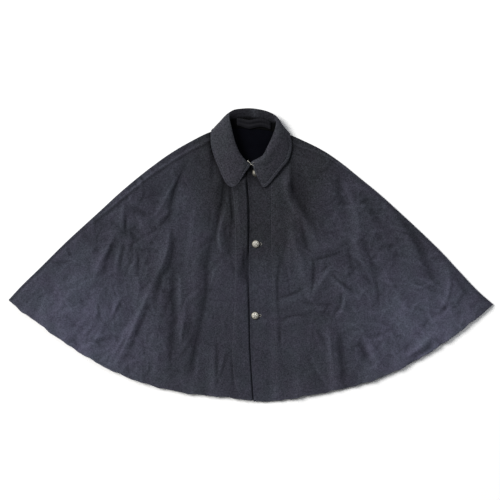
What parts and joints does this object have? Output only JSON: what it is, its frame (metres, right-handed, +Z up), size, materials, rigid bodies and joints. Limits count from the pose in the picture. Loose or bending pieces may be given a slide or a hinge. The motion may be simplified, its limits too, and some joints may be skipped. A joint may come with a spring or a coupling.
{
  "type": "wool cape with turn-down collar, laid flat",
  "caption": "Short flared wool cape with a turn-down collar and shank buttons, buttoned and laid flat on its back.",
  "frame": {"origin": "on the floor under the middle of the cape's outline", "axes": "+X along the width towards the wearer's left front, +Y from the hem towards the collar, +Z up from the floor"},
  "size_m": [1.2088, 0.7358, 0.0331],
  "materials": {
    "wool": "heavy fulled wool in dark blue-grey melange, matt, with a short nap",
    "collar_wool": "the same fulled wool, two layers, a little lighter",
    "dark_cloth": "thin black twill lining and hanger strip",
    "silvered_metal": "silvered, a little worn, semi-gloss"
  },
  "bodies": {
    "root": {"back": "wool", "right_front": "wool", "left_front": "wool", "collar": "collar_wool", "yoke_lining": "dark_cloth", "hanger_loop": "dark_cloth", "button_1": "silvered_metal", "button_2": "silvered_metal", "button_3": "silvered_metal", "collar_hook": "silvered_metal", "collar_eye": "silvered_metal"}
  },
  "joints": []
}
